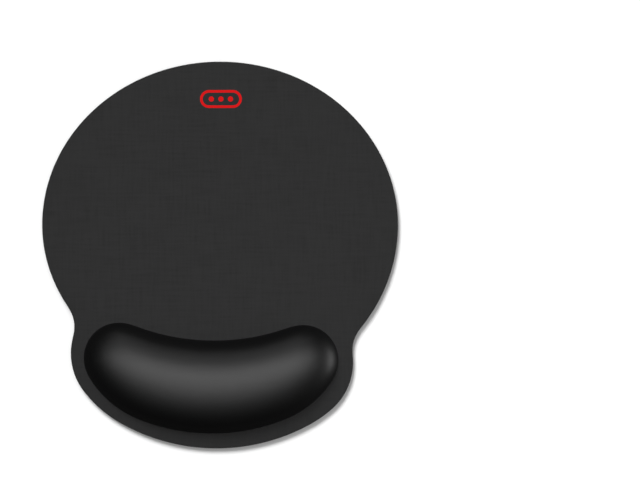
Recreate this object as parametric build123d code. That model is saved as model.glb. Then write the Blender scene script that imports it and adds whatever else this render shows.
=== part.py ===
from build123d import *

import os
from math import atan2, degrees, hypot, sqrt

# Mouse mat with a built-in gel wrist rest, lying flat on a desk.
#
# Every sheet of it is bonded face to face with the next, and all of them are cut in one stroke to
# the same outline: a broad round mat with a narrower, kidney-shaped end under the wrists. The gel
# is poured into the pocket of a formed film, and the cover cloth is formed over film and gel.
#
# Millimetres. +X is the user's right, +Y is away from the user, +Z is up. The origin is at the
# middle of the footprint, on the desk. In use the wrists lie on the -Y end.

# Round end of the mat: half an ellipse and two quarters that share its width. It is not quite alike
# on the two sides.
LENGTH = 250.0
WIDTH = 230.0
ROUND_CENTRE_Y = 19.5
ROUND_BACK = LENGTH / 2 - ROUND_CENTRE_Y
ROUND_LEFT = 102.0
ROUND_RIGHT = 109.0

# Wrist end of the mat: a kidney of tangent arcs, as kidney() draws it
APRON = {
    "lobe_left": (-56.5, -63.5),
    "lobe_right": (46.0, -69.5),
    "lobe_radius": 40.0,
    "rear_radius": 150.0,
    "shoulder_radius": 80.0,
    "front_radius": 126.0,
    "foremost": (-2.3, -LENGTH / 2),
}

# Blends between the round end and the wrist end
WAIST_RADIUS = 22.0

# Plan of the wrist cushion, which leaves a flat border of 8 to 10 mm round it
CUSHION = {
    "lobe_left": (-65.2, -66.5),
    "lobe_right": (53.7, -68.0),
    "lobe_radius": 23.1,
    "rear_radius": 142.0,
    "shoulder_radius": 66.0,
    "front_radius": 127.0,
    "foremost": (-5.0, -115.4),
}

# Thickness of each sheet
SOLE = 1.2
ADHESIVE = 0.1
FOAM = 1.8
FILM = 0.15
CLOTH = 0.5

# Height of each sheet's lower face, from the desk up
ADHESIVE_Z = SOLE
FOAM_Z = ADHESIVE_Z + ADHESIVE
FOAM_ADHESIVE_Z = FOAM_Z + FOAM
BACKING_FILM_Z = FOAM_ADHESIVE_Z + ADHESIVE
FORMING_FILM_Z = BACKING_FILM_Z + FILM
CLOTH_Z = FORMING_FILM_Z + FILM
MAT_TOP_Z = CLOTH_Z + CLOTH

# Cushion: its top is arched across the kidney, highest along an arc about the rear arc's centre
CROWN_Z = 22.0
CROWN_LINE_RADIUS = 170.0
CROWN_RADIUS = 45.0
CUSHION_ROUNDING = 10.0

# Printed badge, pressed flush into the cloth: a plain ring the shape of a pill, round a row of dots
BADGE_CENTRE = (0.6, 100.8)
BADGE_LENGTH = 27.0
BADGE_HEIGHT = 11.6
BADGE_LINE = 1.7
DOTS = 3
DOT_RADIUS = 1.7
DOT_PITCH = 6.2
INK = 0.1


def circles_meet(centre_a, radius_a, centre_b, radius_b, side):
    """Where two circles cross: side +1 is left of the way from a to b, and -1 is right of it."""
    step_x = centre_b[0] - centre_a[0]
    step_y = centre_b[1] - centre_a[1]
    gap = hypot(step_x, step_y)
    along = (radius_a**2 - radius_b**2 + gap**2) / (2 * gap)
    off = side * sqrt(radius_a**2 - along**2)
    return (
        centre_a[0] + (step_x * along - step_y * off) / gap,
        centre_a[1] + (step_y * along + step_x * off) / gap,
    )


def heading(start, end):
    """The direction from one point to another, in degrees anticlockwise from +X."""
    return degrees(atan2(end[1] - start[1], end[0] - start[0]))


def arc(centre, radius, first, last):
    """The arc of a circle from one heading to another, by the shorter way."""
    turn = (last - first + 180) % 360 - 180
    return CenterArc(centre, radius, first, turn)


def rear_centre(shape):
    """The centre of a kidney's hollow rear arc, which touches both lobes."""
    reach = shape["rear_radius"] + shape["lobe_radius"]
    return circles_meet(shape["lobe_left"], reach, shape["lobe_right"], reach, 1)


def kidney(shape, inset=0):
    """A kidney of six tangent arcs, drawn in by inset: rear, lobes, shoulders and front."""
    lobe_left, lobe_right = shape["lobe_left"], shape["lobe_right"]
    lobe_radius, shoulder_radius = shape["lobe_radius"], shape["shoulder_radius"]
    front_radius = shape["front_radius"]
    rear = rear_centre(shape)
    front = (shape["foremost"][0], shape["foremost"][1] + front_radius)
    front_reach = front_radius - shoulder_radius
    lobe_reach = shoulder_radius - lobe_radius
    left = circles_meet(front, front_reach, lobe_left, lobe_reach, 1)
    right = circles_meet(front, front_reach, lobe_right, lobe_reach, -1)

    # Two tangent circles touch on the line between their centres
    rear_left = heading(rear, lobe_left)
    rear_right = heading(rear, lobe_right)
    left_end = heading(left, lobe_left)
    right_end = heading(right, lobe_right)
    front_left = heading(front, left)
    front_right = heading(front, right)

    return make_face(
        [
            arc(rear, shape["rear_radius"] + inset, rear_right, rear_left),
            arc(lobe_left, lobe_radius - inset, rear_left + 180, left_end),
            arc(left, shoulder_radius - inset, left_end, front_left),
            arc(front, front_radius - inset, front_left, front_right),
            arc(right, shoulder_radius - inset, front_right, right_end),
            arc(lobe_right, lobe_radius - inset, right_end, rear_right + 180),
        ]
    )


def mat_outline():
    """The one outline that every sheet is cut to."""
    centre = (0, ROUND_CENTRE_Y)
    back = EllipticalCenterArc(centre, WIDTH / 2, ROUND_BACK, 0, arc_size=180)
    left = EllipticalCenterArc(centre, WIDTH / 2, ROUND_LEFT, 180, arc_size=90)
    right = EllipticalCenterArc(centre, WIDTH / 2, ROUND_RIGHT, 270, arc_size=90)
    outline = make_face([back, left, Line(left @ 1, right @ 0), right]) + kidney(APRON)
    behind_lobes = outline.vertices().filter_by_position(Axis.Y, APRON["lobe_right"][1], 0)
    waist = behind_lobes.sort_by(Axis.X)
    return fillet([waist[0], waist[-1]], WAIST_RADIUS)


def sheet(bottom, thickness):
    """A flat sheet of the mat."""
    return Pos(0, 0, bottom) * extrude(mat_outline(), thickness)


def cushion(inset, bottom):
    """All that lies under the cushion's outer face by inset or more, down to the height bottom."""
    block = Pos(0, 0, bottom) * extrude(kidney(CUSHION, inset), CROWN_Z)
    arch = Torus(CROWN_LINE_RADIUS, CROWN_RADIUS - inset)
    crowned = block & Pos(*rear_centre(CUSHION), CROWN_Z - CROWN_RADIUS) * arch
    crown = crowned.faces().sort_by(Axis.Z)[-1]
    return fillet(crown.edges(), CUSHION_ROUNDING - inset)


def gel_core():
    """The gel, as it sets in the formed film's pocket."""
    return cushion(CLOTH + FILM, FORMING_FILM_Z)


def gel_forming_film():
    """The film that was drawn into the pocket for the gel, with a flange over the whole mat."""
    return sheet(FORMING_FILM_Z, FILM) + cushion(CLOTH, FORMING_FILM_Z) - gel_core()


def badge_marks():
    """The transfer print at the mat's far end: a ring and the dots in it, each its own solid."""
    inner_length = BADGE_LENGTH - 2 * BADGE_LINE
    inner_height = BADGE_HEIGHT - 2 * BADGE_LINE
    ring = SlotOverall(BADGE_LENGTH, BADGE_HEIGHT) - SlotOverall(inner_length, inner_height)
    dots = [Pos((n - (DOTS - 1) / 2) * DOT_PITCH, 0) * Circle(DOT_RADIUS) for n in range(DOTS)]
    place = Pos(*BADGE_CENTRE, MAT_TOP_Z - INK)
    return [place * extrude(mark, INK) for mark in [ring, *dots]]


def cover_fabric():
    """The cloth, flat over the mat and drawn over the cushion, with the print let into it."""
    cloth = sheet(CLOTH_Z, CLOTH) + cushion(0, CLOTH_Z) - cushion(CLOTH, CLOTH_Z)
    for mark in badge_marks():
        cloth -= mark
    return cloth


NODES = {
    "anti_slip_sole": sheet(0, SOLE),
    "sole_adhesive": sheet(ADHESIVE_Z, ADHESIVE),
    "mat_foam": sheet(FOAM_Z, FOAM),
    "foam_adhesive": sheet(FOAM_ADHESIVE_Z, ADHESIVE),
    "gel_backing_film": sheet(BACKING_FILM_Z, FILM),
    "gel_core": gel_core(),
    "gel_forming_film": gel_forming_film(),
    "cover_fabric": cover_fabric(),
    "printed_badge": Compound(children=badge_marks()),
}

os.makedirs("parts", exist_ok=True)
for name, solid in NODES.items():
    export_step(solid, f"parts/{name}.step")
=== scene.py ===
import math

import bmesh
import bpy
import numpy as np
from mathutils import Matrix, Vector
from mathutils.geometry import delaunay_2d_cdt


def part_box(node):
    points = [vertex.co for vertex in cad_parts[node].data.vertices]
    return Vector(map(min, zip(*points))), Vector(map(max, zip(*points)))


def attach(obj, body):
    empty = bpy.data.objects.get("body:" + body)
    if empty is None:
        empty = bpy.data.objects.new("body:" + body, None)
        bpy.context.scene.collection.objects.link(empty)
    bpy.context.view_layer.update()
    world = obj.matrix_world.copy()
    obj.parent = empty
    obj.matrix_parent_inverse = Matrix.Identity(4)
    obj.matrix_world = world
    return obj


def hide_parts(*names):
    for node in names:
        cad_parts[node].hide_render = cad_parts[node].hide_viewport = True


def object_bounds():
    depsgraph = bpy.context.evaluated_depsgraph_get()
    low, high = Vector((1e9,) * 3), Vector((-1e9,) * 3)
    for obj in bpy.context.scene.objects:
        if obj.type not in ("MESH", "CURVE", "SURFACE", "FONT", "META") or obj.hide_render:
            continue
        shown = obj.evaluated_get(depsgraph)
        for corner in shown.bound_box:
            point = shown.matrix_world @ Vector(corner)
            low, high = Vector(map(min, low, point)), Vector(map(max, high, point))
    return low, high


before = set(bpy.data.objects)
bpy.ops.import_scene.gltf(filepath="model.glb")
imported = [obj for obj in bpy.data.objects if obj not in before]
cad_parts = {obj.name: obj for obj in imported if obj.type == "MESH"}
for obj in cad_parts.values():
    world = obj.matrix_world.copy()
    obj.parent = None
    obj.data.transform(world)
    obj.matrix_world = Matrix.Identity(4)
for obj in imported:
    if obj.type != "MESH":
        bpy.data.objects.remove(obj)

CAD_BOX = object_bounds()
MM = 0.001

# How near to a height a CAD corner lies that belongs to it
LEVEL_TOLERANCE = 0.002 * MM

# How near two points of a triangulation count as one
CDT_TOLERANCE = 1e-6 * MM

# Heights of the sheets, from the CAD parts
SOLE_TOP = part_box("anti_slip_sole")[1].z
FOAM_BOTTOM, FOAM_TOP = (corner.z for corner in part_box("mat_foam"))
BACKING_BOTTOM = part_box("gel_backing_film")[0].z
GEL_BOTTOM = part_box("gel_core")[0].z
CLOTH_BOTTOM, CROWN = (corner.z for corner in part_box("cover_fabric"))
MAT_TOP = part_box("printed_badge")[1].z
CLOTH = MAT_TOP - CLOTH_BOTTOM
FILM = CLOTH_BOTTOM - GEL_BOTTOM

# Points inside the two outlines, from which every corner of the outline can be seen
MAT_HEART = np.array([0.0, -20 * MM])
CUSHION_HEART = np.array([-6 * MM, -88 * MM])

# Point spacing round the two outlines and over the cushion
OUTLINE_STEP = 1.3 * MM
CUSHION_STEP = 1.2 * MM
CROWN_STEP = 1.5 * MM

# Smoothing of the two outlines: enough to hide the facets, and in the cushion's, to let one curve
# run into the next without a line in the highlights
OUTLINE_PASSES = 3
CUSHION_PASSES = 16

# The die squeezes all the sheets a little along the cut edge
PINCH_WIDTH = 3.0 * MM
PINCH_SHARE = 0.07
EDGE_ROUNDING = 0.16 * MM

# Insets of the point rings that follow the cut edge, in the cloth and in the plainer flat sheets,
# and of those that follow the cushion's foot and climb its side. The foot is a small fillet.
EDGE_INSETS = [0, 0.04 * MM, 0.1 * MM, 0.2 * MM, 0.5 * MM, 1.0 * MM, 1.8 * MM, PINCH_WIDTH]
SHEET_INSETS = [0, *EDGE_INSETS[4:]]
FOOT_WIDTH = 0.4 * MM
FOOT_HEIGHT = 0.15 * MM
FOOT_INSETS = [-FOOT_WIDTH, -0.25 * MM, -0.12 * MM]
SIDE_INSETS = [
    inset * MM
    for inset in (0, 0.03, 0.08, 0.16, 0.28, 0.45, 0.7, 1.0, 1.4, 1.9, 2.6, 3.4, 4.3, 5.3, 6.4, 7.6)
]

# Numbers of rings along the cut edge and round the foot
EDGE_RINGS = len(EDGE_INSETS)
FOOT_RINGS = len(FOOT_INSETS)

# How the gel fills the cushion: the width over which its height levels off, and its foot's slope
LEVELLING = 13 * MM
FOOT_SLOPE_SHARE = 0.02

# Where the membrane's solver stops: after so many steps, or when one of them cuts the error to so
# small a share of what it was
SOLVER_STEPS = 3000
SOLVER_LIMIT = 1e-20

# Rise of the membrane, as a share of its top, at which the cloth over it is fully drawn
DRAWN_AT = 0.004

# Edges sharper than this, in radians, are shaded as creases
CREASE = math.radians(35)

# Herringbone of raised bars under the sole: a bar along X and a bar along Y in each repeat. Each bar
# along X runs on at one end into the side of a bar along Y, which stands more proud by BAR_STEP. The
# bars are rooted in the plate, and where the outline cuts them they end BAR_INSET inside it.
RELIEF = 0.5 * MM
BAR_MODULE = 2.7 * MM
BAR_LENGTH = 5.1 * MM
BAR_WIDTH_X = 1.9 * MM
BAR_WIDTH_Y = 1.4 * MM
BAR_RUN_ON = 1.2 * MM
BAR_STEP = 0.02 * MM
BAR_ROUNDING = 0.4 * MM
BAR_ROOT = 0.08 * MM
BAR_INSET = 0.02 * MM

# What is thinner than this goes when the sole's solids are joined
SLIVER = 0.004 * MM

# Printed badge
BADGE_LINE = 1.7 * MM
DOTS = 3
DOT_RADIUS = 1.7 * MM
DOT_PITCH = 6.2 * MM
INK_HEIGHT = 0.05 * MM
INK_SINK = 0.1 * MM

# The cover's knit, in millimetres: its pitch both ways, and how far a stitch strays
WALE = 0.46
COURSE = 0.38
STRAY = 0.09

# Size of the sponge's pores, in millimetres
PORE_SIZE = 0.32

# Colours of the surfaces, in linear light
BLACK = (0.0, 0.0, 0.0, 1.0)
FLAT_DYE = (0.0134, 0.0134, 0.0136, 1.0)
DRAWN_DYE = (0.0009, 0.0009, 0.0010, 1.0)
SPONGE_DARK = (0.010, 0.010, 0.010, 1.0)
SPONGE_LIGHT = (0.034, 0.034, 0.034, 1.0)
GROOVE_SHADE = (0.0022, 0.0021, 0.0020, 1.0)
BAR_GREY = (0.080, 0.080, 0.068, 1.0)
BAR_BROWN = (0.082, 0.059, 0.049, 1.0)
BAR_DIRT = (0.018, 0.017, 0.015, 1.0)
FORMING_SMOKE = (0.22, 0.22, 0.23)
BACKING_SMOKE = (0.20, 0.20, 0.21)
GLUE_AMBER = (0.12, 0.11, 0.08)
GEL_DEEP = (0.10, 0.26, 0.42, 1.0)
GEL_PALE = (0.20, 0.40, 0.55, 1.0)
INK_DEEP = (0.38, 0.002, 0.003, 1.0)
INK_BRIGHT = (0.58, 0.003, 0.003, 1.0)
FLOOR_SEEN = (0.80, 0.80, 0.80, 1.0)
FLOOR_THROWN = (0.03, 0.03, 0.03, 1.0)

# Strength of the world's light to the eye, on matt surfaces and on glossy ones
BACKDROP = 1.0
DIFFUSE_SKY = 0.5
GLOSSY_SKY = 0.012

# Camera: its lens and sensor in millimetres, the width of what it sees at the mat's top, and how far
# the middle of its view lies from the middle of the mat
LENS = 200
SENSOR = 36
VIEW_WIDTH = 413.5 * MM
VIEW_OFF_X = 64.6 * MM
VIEW_OFF_Y = 3.9 * MM


# Curves in the plane


def corners_at(node, height, heart):
    """The corners of a CAD node's plan at a height, in order anticlockwise round heart."""
    points = np.array([v.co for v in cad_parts[node].data.vertices])
    plan = points[np.abs(points[:, 2] - height) < LEVEL_TOLERANCE][:, :2]
    plan = np.unique(np.round(plan, 6), axis=0)
    turn = np.arctan2(*(plan - heart).T[::-1])
    return plan[np.argsort(turn)]


def even_ring(corners, spacing, passes):
    """The closed curve through the corners as evenly spaced points, smoothed by some passes."""
    closed = np.vstack([corners, corners[:1]])
    along = np.concatenate([[0], np.cumsum(np.linalg.norm(np.diff(closed, axis=0), axis=1))])
    count = round(along[-1] / spacing)
    places = np.arange(count) * along[-1] / count
    ring = np.stack([np.interp(places, along, closed[:, axis]) for axis in (0, 1)], axis=1)
    for _ in range(passes):
        ring = (np.roll(ring, 1, axis=0) + 2 * ring + np.roll(ring, -1, axis=0)) / 4
    return ring


def outward(ring):
    """The outward unit normal at each point of an anticlockwise ring."""
    along = np.roll(ring, -1, axis=0) - np.roll(ring, 1, axis=0)
    normal = np.stack([along[:, 1], -along[:, 0]], axis=1)
    return normal / np.linalg.norm(normal, axis=1, keepdims=True)


def inset_ring(ring, inset):
    return ring - outward(ring) * inset


def inside(points, ring):
    """Whether each point lies inside the ring."""
    start, end = ring, np.roll(ring, -1, axis=0)
    crossed = (start[:, 1] > points[:, 1, None]) != (end[:, 1] > points[:, 1, None])

    # A side along X is never crossed, so any rise but 0 will do for it
    rise = np.where(end[:, 1] == start[:, 1], 1.0, end[:, 1] - start[:, 1])
    at = start[:, 0] + (points[:, 1, None] - start[:, 1]) * (end[:, 0] - start[:, 0]) / rise
    return (crossed & (points[:, 0, None] < at)).sum(axis=1) % 2 == 1


def honeycomb(ring, spacing, margin):
    """Evenly scattered points inside the ring, at least margin from it."""
    low, high = ring.min(axis=0), ring.max(axis=0)
    rows = np.arange(low[1], high[1], spacing * math.sqrt(3) / 2)
    points = [
        (x, y)
        for number, y in enumerate(rows)
        for x in np.arange(low[0] + (number % 2) * spacing / 2, high[0], spacing)
    ]
    points = np.array(points)
    points = points[inside(points, ring)]
    return points[np.linalg.norm(points[:, None] - ring[None], axis=2).min(axis=1) > margin]


# Faces


def band(first, second, count):
    """Quads between an outer ring and an inner ring of as many points, facing up."""
    here = range(count)
    return [(first + i, first + (i + 1) % count, second + (i + 1) % count, second + i) for i in here]


def filled(points, loops, keep):
    """Triangles over the loops' points and some scattered ones, with the loops as edges, facing up.

    keep holds the numbers of the scattered points and the rings that the triangles lie between.
    """
    edges = [(loop[i - 1], loop[i]) for loop in loops for i in range(len(loop))]
    used = sorted({i for loop in loops for i in loop} | set(keep["scattered"]))
    local = {point: number for number, point in enumerate(used)}
    found = delaunay_2d_cdt(
        [Vector(points[i]) for i in used],
        [(local[a], local[b]) for a, b in edges],
        [],
        0,
        CDT_TOLERANCE,
    )
    origin = [used[o[0]] for o in found[3]]
    triangles = np.array([[origin[i] for i in face] for face in found[2] if len(face) == 3])
    middle = points[triangles].mean(axis=1)
    wanted = inside(middle, keep["within"])
    if "outside" in keep:
        wanted &= ~inside(middle, keep["outside"])
    triangles = triangles[wanted]
    a, b, c = (points[triangles[:, i]] for i in range(3))
    turn = (b[:, 0] - a[:, 0]) * (c[:, 1] - a[:, 1]) - (b[:, 1] - a[:, 1]) * (c[:, 0] - a[:, 0])
    triangles[turn < 0] = triangles[turn < 0][:, ::-1]
    return [tuple(int(i) for i in t) for t in triangles]


def flipped(faces, shift):
    """The same faces turned over, on points that start shift further on."""
    return [tuple(i + shift for i in reversed(face)) for face in faces]


# Pieces


def linked(name, data):
    """A new object in the scene."""
    made = bpy.data.objects.new(name, data)
    bpy.context.scene.collection.objects.link(made)
    return made


def smooth(mesh):
    """Smooth shading that keeps the creases."""
    mesh.shade_smooth()
    mesh.set_sharp_from_angle(angle=CREASE)


def new_piece(name, points, faces, material, replaced):
    """A mesh piece that rides on the mat and stands for a CAD node."""
    mesh = bpy.data.meshes.new(name)
    mesh.from_pydata([tuple(p) for p in points], [], faces)
    mesh.validate()
    smooth(mesh)
    mesh.materials.append(material)
    piece = linked(name, mesh)
    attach(piece, "root")
    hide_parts(replaced)
    return piece


# Materials


class Shading:
    """A node material with one Principled shader, and short ways to add nodes to it."""

    def __init__(self, name):
        self.material = bpy.data.materials.new(name)
        self.material.use_nodes = True
        self.tree = self.material.node_tree
        self.shader = self.tree.nodes["Principled BSDF"]

    def set(self, **sockets):
        """Sets the shader's own sockets, whose names are written with _ for a space."""
        for name, value in sockets.items():
            self.shader.inputs[name.replace("_", " ")].default_value = value

    def link(self, source, target):
        self.tree.links.new(source, target)

    def node(self, kind, inputs=(), **settings):
        made = self.tree.nodes.new(kind)
        for name, value in settings.items():
            setattr(made, name, value)
        for place, value in enumerate(inputs):
            self.feed(made.inputs[place], value)
        return made

    def feed(self, socket, value):
        """Links a socket to a node's output, or sets its value."""
        if isinstance(value, bpy.types.NodeSocket):
            self.link(value, socket)
        else:
            socket.default_value = value

    def math(self, operation, *values):
        return self.node("ShaderNodeMath", values, operation=operation).outputs[0]

    def place(self):
        """The point's place in the object, in millimetres."""
        here = self.node("ShaderNodeTexCoord").outputs["Object"]
        return self.node("ShaderNodeVectorMath", (here, (1 / MM,) * 3), operation="MULTIPLY").outputs[0]

    def parts(self, vector):
        return self.node("ShaderNodeSeparateXYZ", (vector,)).outputs

    def noise(self, place, size, detail=2.0, roughness=0.5):
        """Noise whose blobs are about size millimetres."""
        made = self.node("ShaderNodeTexNoise", noise_dimensions="3D")
        self.link(place, made.inputs["Vector"])
        made.inputs["Scale"].default_value = 1 / size
        made.inputs["Detail"].default_value = detail
        made.inputs["Roughness"].default_value = roughness
        return made.outputs["Fac"]

    def streak(self, place, squeeze):
        """Noise drawn out into streaks along the axis that squeeze shrinks."""
        squeezed = self.node("ShaderNodeVectorMath", (place, squeeze), operation="MULTIPLY").outputs[0]
        return self.noise(squeezed, 1.4, detail=1.0)

    def between(self, factor, low, high):
        """low where factor is 0 and high where it is 1, as numbers."""
        return self.node("ShaderNodeMapRange", (factor, 0.0, 1.0, low, high)).outputs[0]

    def stretch(self, value, start, end):
        """0 at start and 1 at end."""
        return self.node("ShaderNodeMapRange", (value, start, end, 0.0, 1.0)).outputs[0]

    def mix(self, factor, first, second):
        """A colour between two colours."""
        made = self.node("ShaderNodeMix", data_type="RGBA")
        self.feed(made.inputs["Factor"], factor)
        self.feed(made.inputs[6], first)
        self.feed(made.inputs[7], second)
        return made.outputs[2]

    def knit(self, place):
        """How near each point is to the middle of its wale and of its loop, from 0 to 0.5.

        The loops slant both ways from the middle of the wale, and the rows stray a little.
        """
        x, y, _ = self.parts(place)
        stray_x = self.between(self.noise(place, 2.2), -STRAY, STRAY)
        stray_y = self.between(self.noise(place, 1.7), -STRAY, STRAY)
        wale = self.math("MULTIPLY", self.math("ADD", x, stray_x), 1 / WALE)
        wale = self.math("PINGPONG", wale, 0.5)
        course = self.math("MULTIPLY", self.math("ADD", y, stray_y), 1 / COURSE)
        course = self.math("MULTIPLY_ADD", wale, 0.7, course)
        return wale, self.math("PINGPONG", course, 0.5)

    def bump(self, height, distance, strength=1.0):
        """A bump as deep as distance, in millimetres, where height runs from 0 to 1."""
        made = self.node("ShaderNodeBump")
        made.inputs["Strength"].default_value = strength
        made.inputs["Distance"].default_value = distance * MM
        self.link(height, made.inputs["Height"])
        return made.outputs["Normal"]


def cover_cloth():
    """Fine matt knit, dyed black. Where it is drawn over the cushion it is darker and smoother."""
    m = Shading("cover_cloth")
    place = m.place()
    drawn = m.node("ShaderNodeAttribute", attribute_name="drawn").outputs["Fac"]

    wale, loop = m.knit(place)
    stitch = m.math("MULTIPLY", m.math("MULTIPLY", wale, 2.0), m.math("MULTIPLY_ADD", loop, 1.2, 0.4))
    fibre = m.noise(place, 0.18, detail=3.0, roughness=0.6)
    cloud = m.noise(place, 38.0, detail=2.0)
    streaks = m.math("ADD", m.streak(place, (1, 0.07, 1)), m.streak(place, (0.07, 1, 1)))
    height = m.math("MULTIPLY_ADD", fibre, 0.5, stitch)

    # Painted shade: the colour is darker between the stitches, where the knit lies low.
    # The dye also varies in broad clouds and in streaks both ways
    shade = m.math("MULTIPLY_ADD", stitch, 0.7, 0.08)
    shade = m.math("MULTIPLY_ADD", cloud, 0.16, shade)
    shade = m.math("MULTIPLY_ADD", streaks, 0.55, shade)
    flat = m.mix(shade, BLACK, FLAT_DYE)
    tight = m.mix(shade, BLACK, DRAWN_DYE)
    m.link(m.mix(drawn, flat, tight), m.shader.inputs["Base Color"])
    rough = m.between(drawn, 0.92, 0.45)
    m.link(m.math("MULTIPLY_ADD", fibre, 0.06, rough), m.shader.inputs["Roughness"])
    m.link(m.bump(height, 0.03, strength=0.6), m.shader.inputs["Normal"])
    return m.material


def sponge():
    """Black closed-cell sponge, seen only where it is cut."""
    m = Shading("sponge")
    place = m.place()
    cells = m.node("ShaderNodeTexVoronoi", feature="F1")
    m.link(place, cells.inputs["Vector"])
    cells.inputs["Scale"].default_value = 1 / PORE_SIZE
    # Painted shade: each cut cell is darker towards its middle, in its hollow; the grain varies it at
    # random
    pore = m.stretch(cells.outputs["Distance"], 0.1, 0.6)
    grain = m.noise(place, 0.9, detail=3.0)
    shade = m.math("MULTIPLY", pore, grain)
    m.link(m.mix(shade, SPONGE_DARK, SPONGE_LIGHT), m.shader.inputs["Base Color"])
    m.link(m.between(grain, 0.8, 0.98), m.shader.inputs["Roughness"])
    m.link(m.bump(pore, 0.12, strength=0.9), m.shader.inputs["Normal"])
    m.set(Specular_IOR_Level=0.25)
    return m.material


def sole_rubber():
    """Dull rubber. The grooves are painted near black as shade; the bars' faces keep the rubber's lighter
    colour.

    The faces are greenish grey in the middle of the mat, and brown in patches towards its rim.
    """
    m = Shading("sole_rubber")
    place = m.place()
    # Painted shade: higher than 0.2 mm, in the grooves, the rubber is painted near black; the bars' faces
    # near the floor are not
    face = m.stretch(m.parts(place)[2], 0.2, 0.02)
    out = m.node("ShaderNodeVectorMath", (place,), operation="LENGTH").outputs["Value"]
    patch = m.math("MULTIPLY_ADD", out, 0.004, m.noise(place, 30.0, detail=3.0))
    patch = m.stretch(patch, 0.80, 1.02)
    wear = m.noise(place, 7.0, detail=2.0)
    dust = m.noise(place, 1.2, detail=4.0, roughness=0.65)
    each = m.stretch(m.noise(place, 2.0, detail=0.0), 0.3, 0.6)
    bar = m.mix(patch, BAR_GREY, BAR_BROWN)
    dull = m.math("MULTIPLY", m.math("MULTIPLY", dust, wear), m.math("MULTIPLY_ADD", each, 2.4, 0.4))
    bar = m.mix(dull, bar, BAR_DIRT)
    m.link(m.mix(face, GROOVE_SHADE, bar), m.shader.inputs["Base Color"])
    m.link(m.between(dust, 0.62, 0.85), m.shader.inputs["Roughness"])
    m.link(m.bump(m.noise(place, 0.25, detail=3.0), 0.03, strength=0.5), m.shader.inputs["Normal"])
    m.set(Specular_IOR_Level=0.03)
    return m.material


def melt_film(name, colour, roughness):
    """A thin smoky film: hot-melt adhesive, or the gel's two films."""
    m = Shading(name)
    place = m.place()
    smear = m.noise(place, 2.5, detail=3.0)
    dark = tuple(channel * 0.55 for channel in colour)
    m.link(m.mix(smear, (*dark, 1), (*colour, 1)), m.shader.inputs["Base Color"])
    m.link(m.between(smear, roughness, roughness + 0.2), m.shader.inputs["Roughness"])
    m.link(m.bump(m.noise(place, 0.6), 0.02, strength=0.4), m.shader.inputs["Normal"])
    return m.material


def soft_gel():
    """Clear blue gel with a slight cloudiness."""
    m = Shading("soft_gel")
    place = m.place()
    cloud = m.noise(place, 14.0, detail=3.0)
    m.link(m.mix(cloud, GEL_DEEP, GEL_PALE), m.shader.inputs["Base Color"])
    m.link(m.between(cloud, 0.08, 0.2), m.shader.inputs["Roughness"])
    m.link(m.bump(m.noise(place, 3.0), 0.05, strength=0.3), m.shader.inputs["Normal"])
    m.set(Transmission_Weight=0.6, IOR=1.42)
    return m.material


def red_ink():
    """Transfer print: a thin red skin with the knit just showing through, in its bumps and in painted
    shade between the stitches.
    """
    m = Shading("red_ink")
    place = m.place()
    wale, loop = m.knit(place)
    stitch = m.math("MULTIPLY", wale, loop)
    speck = m.noise(place, 0.7, detail=3.0)
    # Painted shade: the ink is darker between the stitches, where the knit lies low; specks vary it at
    # random
    shade = m.math("MULTIPLY_ADD", stitch, 4.0, m.math("MULTIPLY", speck, 0.5))
    m.link(m.mix(shade, INK_DEEP, INK_BRIGHT), m.shader.inputs["Base Color"])
    m.link(m.between(speck, 0.65, 0.85), m.shader.inputs["Roughness"])
    m.link(m.bump(stitch, 0.03, strength=0.5), m.shader.inputs["Normal"])
    m.set(Specular_IOR_Level=0.1)
    return m.material


def pale_floor():
    """A plain pale table top, which throws little light back up at the mat.

    From below it is clear, and it lets the lamp under it through, so that the sole can be looked at.
    """
    m = Shading("pale_floor")
    ray = m.node("ShaderNodeLightPath").outputs
    m.link(m.mix(ray["Is Camera Ray"], FLOOR_THROWN, FLOOR_SEEN), m.shader.inputs["Base Color"])
    m.set(Roughness=0.9, Specular_IOR_Level=0.1)
    clear = m.node("ShaderNodeBsdfTransparent").outputs[0]
    behind = m.node("ShaderNodeNewGeometry").outputs["Backfacing"]
    below = m.math("MAXIMUM", behind, ray["Is Shadow Ray"])
    either = m.node("ShaderNodeMixShader")
    m.link(below, either.inputs[0])
    m.link(m.shader.outputs[0], either.inputs[1])
    m.link(clear, either.inputs[2])
    m.link(either.outputs[0], m.tree.nodes["Material Output"].inputs["Surface"])
    return m.material


# The mat's own surface


OUTLINE = even_ring(corners_at("anti_slip_sole", 0.0, MAT_HEART), OUTLINE_STEP, OUTLINE_PASSES)


def pinched(height, depth):
    """A sheet's height near the cut edge, at a depth inwards from it."""
    near = np.clip(1 - depth / PINCH_WIDTH, 0, 1)
    return height * (1 - PINCH_SHARE * near**2)


def foot_ring():
    """The cushion's foot line on the mat's top, from the gel's plan and the skins over it."""
    corners = corners_at("gel_core", GEL_BOTTOM, CUSHION_HEART)
    gel = even_ring(corners, CUSHION_STEP, CUSHION_PASSES)
    return inset_ring(gel, -(CLOTH + FILM))


def membrane(points, faces):
    """The faces as a stretched skin: its sides' ends and pulls, and the area each point bears.

    A triangle's side pulls its ends together by half the cotangent of the angle that faces it, and
    each of its corners bears a third of its area.
    """
    triangles = np.array([t for f in faces for t in ((f[0], f[1], f[2]), (f[0], f[2], f[-1]))])
    triangles = triangles[triangles[:, 1] != triangles[:, 2]]
    starts, ends, pulls = [], [], []
    borne = np.zeros(len(points))
    for turn in range(3):
        a, b, c = (points[np.roll(triangles, turn, axis=1)[:, i]] for i in range(3))
        ca, cb = a - c, b - c
        doubled_area = np.abs(ca[:, 0] * cb[:, 1] - ca[:, 1] * cb[:, 0])
        starts.append(np.roll(triangles, turn, axis=1)[:, 0])
        ends.append(np.roll(triangles, turn, axis=1)[:, 1])
        pulls.append(0.5 * (ca * cb).sum(axis=1) / doubled_area)
        borne += np.bincount(starts[-1], doubled_area / 6, len(points))
    return (*(np.concatenate(part) for part in (starts, ends, pulls)), borne)


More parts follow.
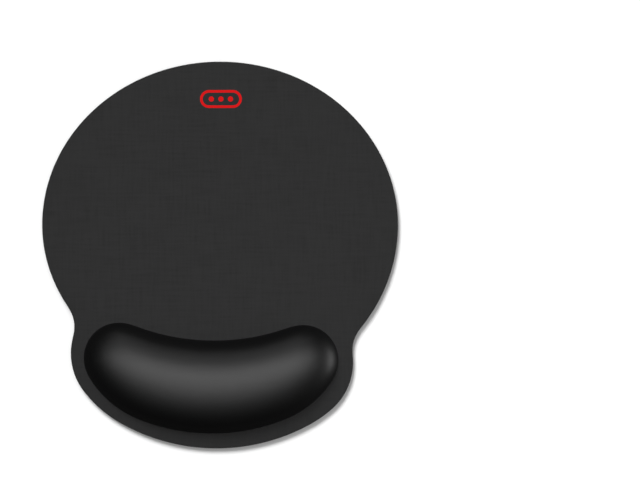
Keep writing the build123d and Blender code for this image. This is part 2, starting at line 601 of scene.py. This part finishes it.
def inflated(points, faces, held):
    """How high a membrane rises when it is blown up over the faces, as a share of its top.

    It is held down at the held points, and by soft springs all over, which level it off. Solved by
    conjugate gradients, each point's error being eased by its own stiffness.
    """
    starts, ends, pulls, borne = membrane(points, faces)
    count = len(points)
    free = np.ones(count)
    free[held] = 0

    def pull(height):
        tug = pulls * (height[starts] - height[ends])
        tug = np.bincount(starts, tug, count) - np.bincount(ends, tug, count)
        return free * (tug + borne * height / LEVELLING**2)

    own = np.bincount(starts, pulls, count) + np.bincount(ends, pulls, count)
    own = own + borne / LEVELLING**2
    own[own <= 0] = 1
    height = np.zeros(count)
    left = free * borne
    step = left / own
    size = left @ step
    for _ in range(SOLVER_STEPS):
        pulled = pull(step)
        length = size / (step @ pulled)
        height += length * step
        left = left - length * pulled
        eased = free * left / own
        grown = left @ eased
        if grown < SOLVER_LIMIT * size or grown == 0:
            break
        step = eased + grown / size * step
        size = grown
    return height / height.max()


def cushion_profile(share):
    """The height of the gel's top over its foot, as a share of its crown, from the membrane's."""
    low = math.sqrt(FOOT_SLOPE_SHARE)
    return (np.sqrt(share + FOOT_SLOPE_SHARE) - low) / (math.sqrt(1 + FOOT_SLOPE_SHARE) - low)


def edge_drop(depth):
    """How far the cloth's top rounds over at the cut, at a depth inwards from it."""
    near = np.clip(1 - depth / EDGE_ROUNDING, 0, 1)
    return EDGE_ROUNDING * (1 - np.sqrt(1 - near**2))


def up_normals(points, faces):
    """The normal at each point, weighted by the area of the faces round it."""
    total = np.zeros_like(points)
    for size in (3, 4):
        some = np.array([f for f in faces if len(f) == size])
        a, b, c = points[some[:, 0]], points[some[:, 1]], points[some[:, 2]]
        crossed = np.cross(b - a, c - a)
        if size == 4:
            crossed = crossed + np.cross(c - a, points[some[:, 3]] - a)
        for corner in range(size):
            np.add.at(total, some[:, corner], crossed)
    return total / np.linalg.norm(total, axis=1, keepdims=True)


def surface_faces(plan, rings, starts):
    """The faces of the flat with the cushion's foot, and those of the cushion."""
    around, round_foot = len(rings[0]), len(rings[-1])
    flat = []
    for number in range(EDGE_RINGS - 1):
        flat += band(starts[number], starts[number + 1], around)
    last_edge = range(starts[EDGE_RINGS - 1], starts[EDGE_RINGS])
    first_foot = range(starts[EDGE_RINGS], starts[EDGE_RINGS + 1])
    keep = {"scattered": [], "within": rings[EDGE_RINGS - 1], "outside": rings[EDGE_RINGS]}
    flat += filled(plan, [last_edge, first_foot], keep)
    for number in range(EDGE_RINGS, EDGE_RINGS + FOOT_RINGS):
        flat += band(starts[number], starts[number + 1], round_foot)

    cushion = []
    for number in range(EDGE_RINGS + FOOT_RINGS, len(rings) - 1):
        cushion += band(starts[number], starts[number + 1], round_foot)
    last_side = range(starts[-2], starts[-1])
    keep = {"scattered": range(starts[-1], len(plan)), "within": rings[-1]}
    cushion += filled(plan, [last_side], keep)
    return flat, cushion


def surface_heights(depth, starts, share):
    """Each point's height, from its depth inside the cut edge and the membrane's rise."""
    height = pinched(np.full(len(depth), MAT_TOP), depth) - edge_drop(depth)
    for number, inset in enumerate(FOOT_INSETS, EDGE_RINGS):
        height[starts[number] : starts[number + 1]] += FOOT_HEIGHT * (1 + inset / FOOT_WIDTH) ** 2
    foot_line = starts[EDGE_RINGS + FOOT_RINGS]
    height[foot_line:] += FOOT_HEIGHT
    height[foot_line:] += cushion_profile(share) * (CROWN - MAT_TOP - FOOT_HEIGHT)
    return height


def mat_surface():
    """The mat's top: its points, its faces, and which points belong to what."""
    foot = foot_ring()
    rings = [inset_ring(OUTLINE, inset) for inset in EDGE_INSETS]
    rings += [inset_ring(foot, inset) for inset in FOOT_INSETS + SIDE_INSETS]
    starts = [0, *np.cumsum([len(ring) for ring in rings]).tolist()]
    crown = honeycomb(rings[-1], CROWN_STEP, 0.75 * CROWN_STEP)
    plan = np.vstack([*rings, crown])
    flat_faces, cushion_faces = surface_faces(plan, rings, starts)

    foot_line = starts[EDGE_RINGS + FOOT_RINGS]
    lowered = [tuple(i - foot_line for i in face) for face in cushion_faces]
    share = inflated(plan[foot_line:], lowered, np.arange(len(foot)))

    depth = np.full(len(plan), PINCH_WIDTH)
    for number, inset in enumerate(EDGE_INSETS):
        depth[starts[number] : starts[number + 1]] = inset
    points = np.column_stack([plan, surface_heights(depth, starts, share)])
    faces = flat_faces + cushion_faces
    return {
        "points": points,
        "faces": faces,
        "cushion_faces": cushion_faces,
        "normals": up_normals(points, faces),
        "depth": depth,
        "edge": range(len(OUTLINE)),
        "foot_line": foot_line,
        "foot": range(foot_line, foot_line + len(foot)),
        "flat_end": starts[EDGE_RINGS],
        "share": share,
    }


SURFACE = mat_surface()


def under_surface(drop):
    """The face that lies drop below the mat's top, square to it."""
    points = SURFACE["points"] - SURFACE["normals"] * drop
    flat = slice(0, SURFACE["flat_end"])
    points[flat, :2] = SURFACE["points"][flat, :2]
    points[flat, 2] = pinched(np.full(SURFACE["flat_end"], MAT_TOP - drop), SURFACE["depth"][flat])
    return points


def formed_sheet(name, top, bottom, material, replaced):
    """A sheet over mat and cushion, from its upper and lower points."""
    count = len(top)
    edge = SURFACE["edge"]
    faces = SURFACE["faces"] + flipped(SURFACE["faces"], count)
    faces += [(count + i, count + (i + 1) % len(edge), (i + 1) % len(edge), i) for i in edge]
    return new_piece(name, np.vstack([top, bottom]), faces, material, replaced)


def make_cover():
    """The cover cloth, with how far it is drawn at each point, from 0 on the flat to 1."""
    top = SURFACE["points"]
    cover = formed_sheet(
        "cover_cloth", top, under_surface(CLOTH), cover_cloth(), "cover_fabric"
    )
    rise = np.zeros(len(top))
    rise[SURFACE["foot_line"] :] = np.clip(SURFACE["share"] / DRAWN_AT, 0, 1)
    drawn = cover.data.attributes.new("drawn", "FLOAT", "POINT")
    drawn.data.foreach_set("value", np.concatenate([rise, rise]).astype(np.float32))
    return cover


def make_gel():
    """The gel, closed below by the backing film's plane."""
    first = SURFACE["foot_line"]
    top = under_surface(CLOTH + FILM)[first:]
    bottom = top.copy()
    bottom[:, 2] = GEL_BOTTOM
    faces = [tuple(i - first for i in face) for face in SURFACE["cushion_faces"]]
    count, around = len(top), len(SURFACE["foot"])
    faces += flipped(faces, count)
    faces += [(count + i, count + (i + 1) % around, (i + 1) % around, i) for i in range(around)]
    return new_piece("gel_pillow", np.vstack([top, bottom]), faces, soft_gel(), "gel_core")


def flat_layer(bottom, top, waist=0.0, levels=1):
    """A flat sheet's points and faces. Its cut side may draw in by waist at half height."""
    around = len(OUTLINE)
    points, faces = [], []

    def add(inset, height, side_inset=0.0):
        ring = inset_ring(OUTLINE, inset + side_inset)
        level = pinched(np.full(around, height), np.full(around, inset))
        points.append(np.column_stack([ring, level]))
        return (len(points) - 1) * around

    upper = [add(inset, top) for inset in SHEET_INSETS]
    lower = [add(inset, bottom) for inset in SHEET_INSETS]
    for outer, inner in zip(upper, upper[1:]):
        faces += band(outer, inner, around)
    for outer, inner in zip(lower, lower[1:]):
        faces += flipped(band(outer, inner, around), 0)
    faces.append(tuple(range(upper[-1], upper[-1] + around)))
    faces.append(tuple(reversed(range(lower[-1], lower[-1] + around))))
    side = [lower[0]]
    for level in range(1, levels):
        share = level / levels
        height = bottom + (top - bottom) * share
        side.append(add(0, height, waist * math.sin(math.pi * share)))
    side.append(upper[0])
    for below, above in zip(side, side[1:]):
        faces += band(below, above, around)
    return np.vstack(points), faces


def flat_sheet(name, bottom, top, material, replaced, slot, **side):
    points, faces = flat_layer(bottom, top, **side)
    return new_piece(name, points, faces, material, replaced)


# The sole's herringbone


def bar_corners(length, width, height):
    """A rectangle round the origin at a height."""
    return [
        (-length / 2, -width / 2, height),
        (length / 2, -width / 2, height),
        (length / 2, width / 2, height),
        (-length / 2, width / 2, height),
    ]


def bar_shape(length, width, face):
    """A bar's points, in four rings from its worn face at a height up to its root in the plate."""
    rings = [
        (BAR_ROUNDING, face),
        (0.4 * BAR_ROUNDING, 0.15 * BAR_ROUNDING),
        (0, 0.7 * BAR_ROUNDING),
        (0, RELIEF + BAR_ROOT),
    ]
    corners = [bar_corners(length - 2 * inset, width - 2 * inset, height) for inset, height in rings]
    return np.concatenate(corners)


BAR_ALONG_X = bar_shape(BAR_LENGTH, BAR_WIDTH_X, BAR_STEP)
BAR_ALONG_X[BAR_ALONG_X[:, 0] > 0, 0] += BAR_RUN_ON
BAR_ALONG_Y = bar_shape(BAR_LENGTH, BAR_WIDTH_Y, 0.0)[:, [1, 0, 2]] * (-1, 1, 1)
BAR_FACES = [(3, 2, 1, 0), tuple(range(len(BAR_ALONG_X) - 4, len(BAR_ALONG_X)))]
BAR_FACES += [
    (ring + i, ring + (i + 1) % 4, ring + 4 + (i + 1) % 4, ring + 4 + i)
    for ring in range(0, len(BAR_ALONG_X) - 4, 4)
    for i in range(4)
]


def bar_places():
    """The middle of every bar of a herringbone that covers the mat, and whether it lies along Y.

    Each repeat holds a bar along X and a bar along Y. A bar's cell is two modules by one.
    """
    low, high = OUTLINE.min(axis=0), OUTLINE.max(axis=0)
    reach = int(np.linalg.norm(high - low) / BAR_MODULE)
    places = []
    for step in range(-reach, reach):
        for jump in range(-reach // 2, reach // 2):
            corner = BAR_MODULE * np.array([step + 2 * jump, step - 2 * jump])
            places.append((*(corner + BAR_MODULE * np.array([1.0, 0.5])), 0))
            places.append((*(corner + BAR_MODULE * np.array([0.5, 2.0])), 1))
    places = np.array(places)
    margin = BAR_LENGTH / 2 + BAR_RUN_ON
    near = ((places[:, :2] > low - margin) & (places[:, :2] < high + margin)).all(axis=1)
    return places[near]


def bars(shape, places):
    """The points and faces of a bar at each place."""
    points = np.vstack([shape + (*place, 0) for place in places])
    starts = range(0, len(points), len(shape))
    return points, [tuple(i + start for i in face) for start in starts for face in BAR_FACES]


def mat_block():
    """A block that ends just inside the outline and is taller than the bars."""
    ring = inset_ring(OUTLINE, BAR_INSET)
    count = len(ring)
    levels = (-RELIEF, SOLE_TOP)
    points = np.vstack([np.column_stack([ring, np.full(count, level)]) for level in levels])
    faces = [tuple(reversed(range(count))), tuple(range(count, 2 * count))]
    return points, faces + band(0, count, count)


def combine(piece, operation, points, faces):
    """Joins another solid to a piece, or keeps what the two share, so that there is one skin."""
    mesh = bpy.data.meshes.new("other")
    mesh.from_pydata([tuple(p) for p in points], [], faces)
    other = linked("other", mesh)
    step = piece.modifiers.new("combine", "BOOLEAN")
    step.operation = operation
    step.solver = "MANIFOLD"
    step.object = other
    bpy.context.view_layer.update()
    combined = piece.evaluated_get(bpy.context.evaluated_depsgraph_get())
    combined = bpy.data.meshes.new_from_object(combined)
    piece.modifiers.remove(step)
    piece.data = combined
    bpy.data.objects.remove(other)


def clean(mesh):
    """Removes what is too thin to see from a mesh, and splits its faces into triangles."""
    shape = bmesh.new()
    shape.from_mesh(mesh)
    bmesh.ops.remove_doubles(shape, verts=shape.verts, dist=SLIVER)
    bmesh.ops.dissolve_degenerate(shape, edges=shape.edges, dist=SLIVER)
    bmesh.ops.triangulate(shape, faces=shape.faces)
    bmesh.ops.dissolve_degenerate(shape, edges=shape.edges, dist=SLIVER)
    shape.to_mesh(mesh)
    shape.free()


def make_sole():
    """The sole: a thin plate with the herringbone's bars under it, cut off at the outline."""
    places = bar_places()
    along_y = places[:, 2] == 1
    points, faces = bars(BAR_ALONG_Y, places[along_y, :2])
    sole = new_piece("herringbone_sole", points, faces, sole_rubber(), "anti_slip_sole")
    combine(sole, "UNION", *bars(BAR_ALONG_X, places[~along_y, :2]))
    combine(sole, "INTERSECT", *mat_block())
    combine(sole, "UNION", *flat_layer(RELIEF, SOLE_TOP))
    clean(sole.data)
    smooth(sole.data)
    return sole


# The printed badge


def stadium(length, height, count):
    """A closed ring in the shape of a pill, lengthwise along X, round the origin."""
    radius = height / 2
    straight = length - height
    ring = []
    for i in range(count):
        turn = 2 * math.pi * (i + 0.5) / count
        side = straight / 2 if math.cos(turn) > 0 else -straight / 2
        ring.append((radius * math.cos(turn) + side, radius * math.sin(turn)))
    return np.array(ring)


def make_badge():
    """A pill-shaped ring round a row of dots, each with a softly rounded edge."""
    low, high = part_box("printed_badge")
    middle = (low + high) / 2
    length, height = high.x - low.x, high.y - low.y
    points, faces = [], []

    def solid(ring, layers, capped=True):
        """Rings of points from the outside up and in, as (inset, height), with faces between."""
        count = len(ring)
        starts = []
        for inset, level in layers:
            starts.append(len(points))
            moved = inset_ring(ring, inset)
            points.extend((x + middle.x, y + middle.y, MAT_TOP + level) for x, y in moved)
        for outer, inner in zip(starts, starts[1:]):
            faces.extend(band(outer, inner, count))
        if capped:
            faces.append(tuple(range(starts[-1], starts[-1] + count)))
            faces.append(tuple(reversed(range(starts[0], starts[0] + count))))
        else:
            faces.extend(band(starts[-1], starts[0], count))

    soft = [(0, -INK_SINK), (0, 0.4 * INK_HEIGHT), (0.06 * MM, 0.8 * INK_HEIGHT), (0.16 * MM, INK_HEIGHT)]
    line = [(BADGE_LINE - inset, level) for inset, level in reversed(soft)]
    solid(stadium(length, height, 120), soft + line, capped=False)
    for number in range(DOTS):
        ring = stadium(2 * DOT_RADIUS, 2 * DOT_RADIUS, 48)
        ring[:, 0] += (number - (DOTS - 1) / 2) * DOT_PITCH
        solid(ring, soft)
    return new_piece("badge_print", points, faces, red_ink(), "printed_badge")


# Assembly

cover = make_cover()
formed_sheet(
    "forming_film",
    under_surface(CLOTH),
    under_surface(CLOTH + FILM),
    melt_film("forming_film", FORMING_SMOKE, 0.35),
    "gel_forming_film",
)
gel = make_gel()
flat_sheet(
    "backing_film",
    BACKING_BOTTOM,
    GEL_BOTTOM,
    melt_film("backing_film", BACKING_SMOKE, 0.35),
    "gel_backing_film",
    "film",
)
flat_sheet(
    "foam_glue",
    FOAM_TOP,
    BACKING_BOTTOM,
    melt_film("foam_glue", GLUE_AMBER, 0.5),
    "foam_adhesive",
    "adhesive",
)
flat_sheet(
    "foam_core", FOAM_BOTTOM, FOAM_TOP, sponge(), "mat_foam", "foam", waist=0.16 * MM, levels=6
)
flat_sheet(
    "sole_glue",
    SOLE_TOP,
    FOAM_BOTTOM,
    melt_film("sole_glue", GLUE_AMBER, 0.5),
    "sole_adhesive",
    "adhesive",
)
make_sole()
badge = make_badge()


# Floor, light and camera


def aim(thing, target):
    thing.rotation_euler = (Vector(target) - thing.location).to_track_quat("-Z", "Y").to_euler()


def add_floor(size):
    mesh = bpy.data.meshes.new("floor")
    half = size / 2
    corners = [(-half, -half, 0), (half, -half, 0), (half, half, 0), (-half, half, 0)]
    mesh.from_pydata(corners, [], [(0, 1, 2, 3)])
    mesh.materials.append(pale_floor())
    floor = linked("floor", mesh)


def add_sun(name, place, angle, strength):
    """Even light from afar, which casts the mat's shadow and makes no highlight."""
    data = bpy.data.lights.new(name, "SUN")
    data.angle = angle
    data.energy = strength
    sun = linked(name, data)
    sun.location = place
    sun.visible_glossy = False
    aim(sun, (0, 0, 0))


def add_softbox(name, place, target, width, depth, power, gloss_only=False):
    data = bpy.data.lights.new(name, "AREA")
    data.shape = "RECTANGLE"
    data.size, data.size_y = width, depth
    data.energy = power
    lamp = linked(name, data)
    lamp.location = place
    lamp.visible_camera = False
    lamp.visible_diffuse = not gloss_only
    aim(lamp, target)


def add_world():
    """A pale backdrop, whose light falls softly on matt surfaces and hardly shines on glossy ones."""
    world = bpy.data.worlds.new("studio")
    world.use_nodes = True
    nodes, links = world.node_tree.nodes, world.node_tree.links
    ray = nodes.new("ShaderNodeLightPath").outputs
    shares = [("Is Camera Ray", BACKDROP), ("Is Diffuse Ray", DIFFUSE_SKY), ("Is Glossy Ray", GLOSSY_SKY)]
    strength = None
    for kind, share in shares:
        step = nodes.new("ShaderNodeMath")
        step.operation = "MULTIPLY_ADD"
        links.new(ray[kind], step.inputs[0])
        step.inputs[1].default_value = share
        step.inputs[2].default_value = 0
        if strength is not None:
            links.new(strength, step.inputs[2])
        strength = step.outputs[0]
    links.new(strength, nodes["Background"].inputs["Strength"])
    nodes["Background"].inputs["Color"].default_value = (1, 1, 1, 1)
    bpy.context.scene.world = world


def add_camera():
    """Straight down over the mat, which lies left of the middle of the view."""
    data = bpy.data.cameras.new("camera")
    data.lens = LENS
    data.sensor_width = SENSOR
    camera = linked("camera", data)
    low, high = CAD_BOX
    camera.location = (low + high) / 2 + Vector((VIEW_OFF_X, VIEW_OFF_Y, 0))
    camera.location.z = MAT_TOP + VIEW_WIDTH / SENSOR * LENS
    bpy.context.scene.camera = camera


add_floor(size=6.0)
add_softbox("top", (0, 0.12, 1.6), (0, -0.08, 0), width=1.4, depth=0.5, power=19, gloss_only=True)
add_sun("rear", (-0.6, 1.13, 1.3), angle=0.5, strength=3.55)
add_softbox("rear_fill", (-0.1, 1.1, 0.95), (0, -0.05, 0), width=0.8, depth=0.4, power=2)
add_softbox("right_fill", (1.0, -0.05, 0.12), (0.05, -0.07, 0), width=0.5, depth=0.2, power=3)
add_softbox("under", (0, 0, -0.6), (0, 0, 0), width=0.5, depth=0.5, power=5)
add_world()
add_camera()
bpy.context.scene.view_settings.view_transform = "Standard"
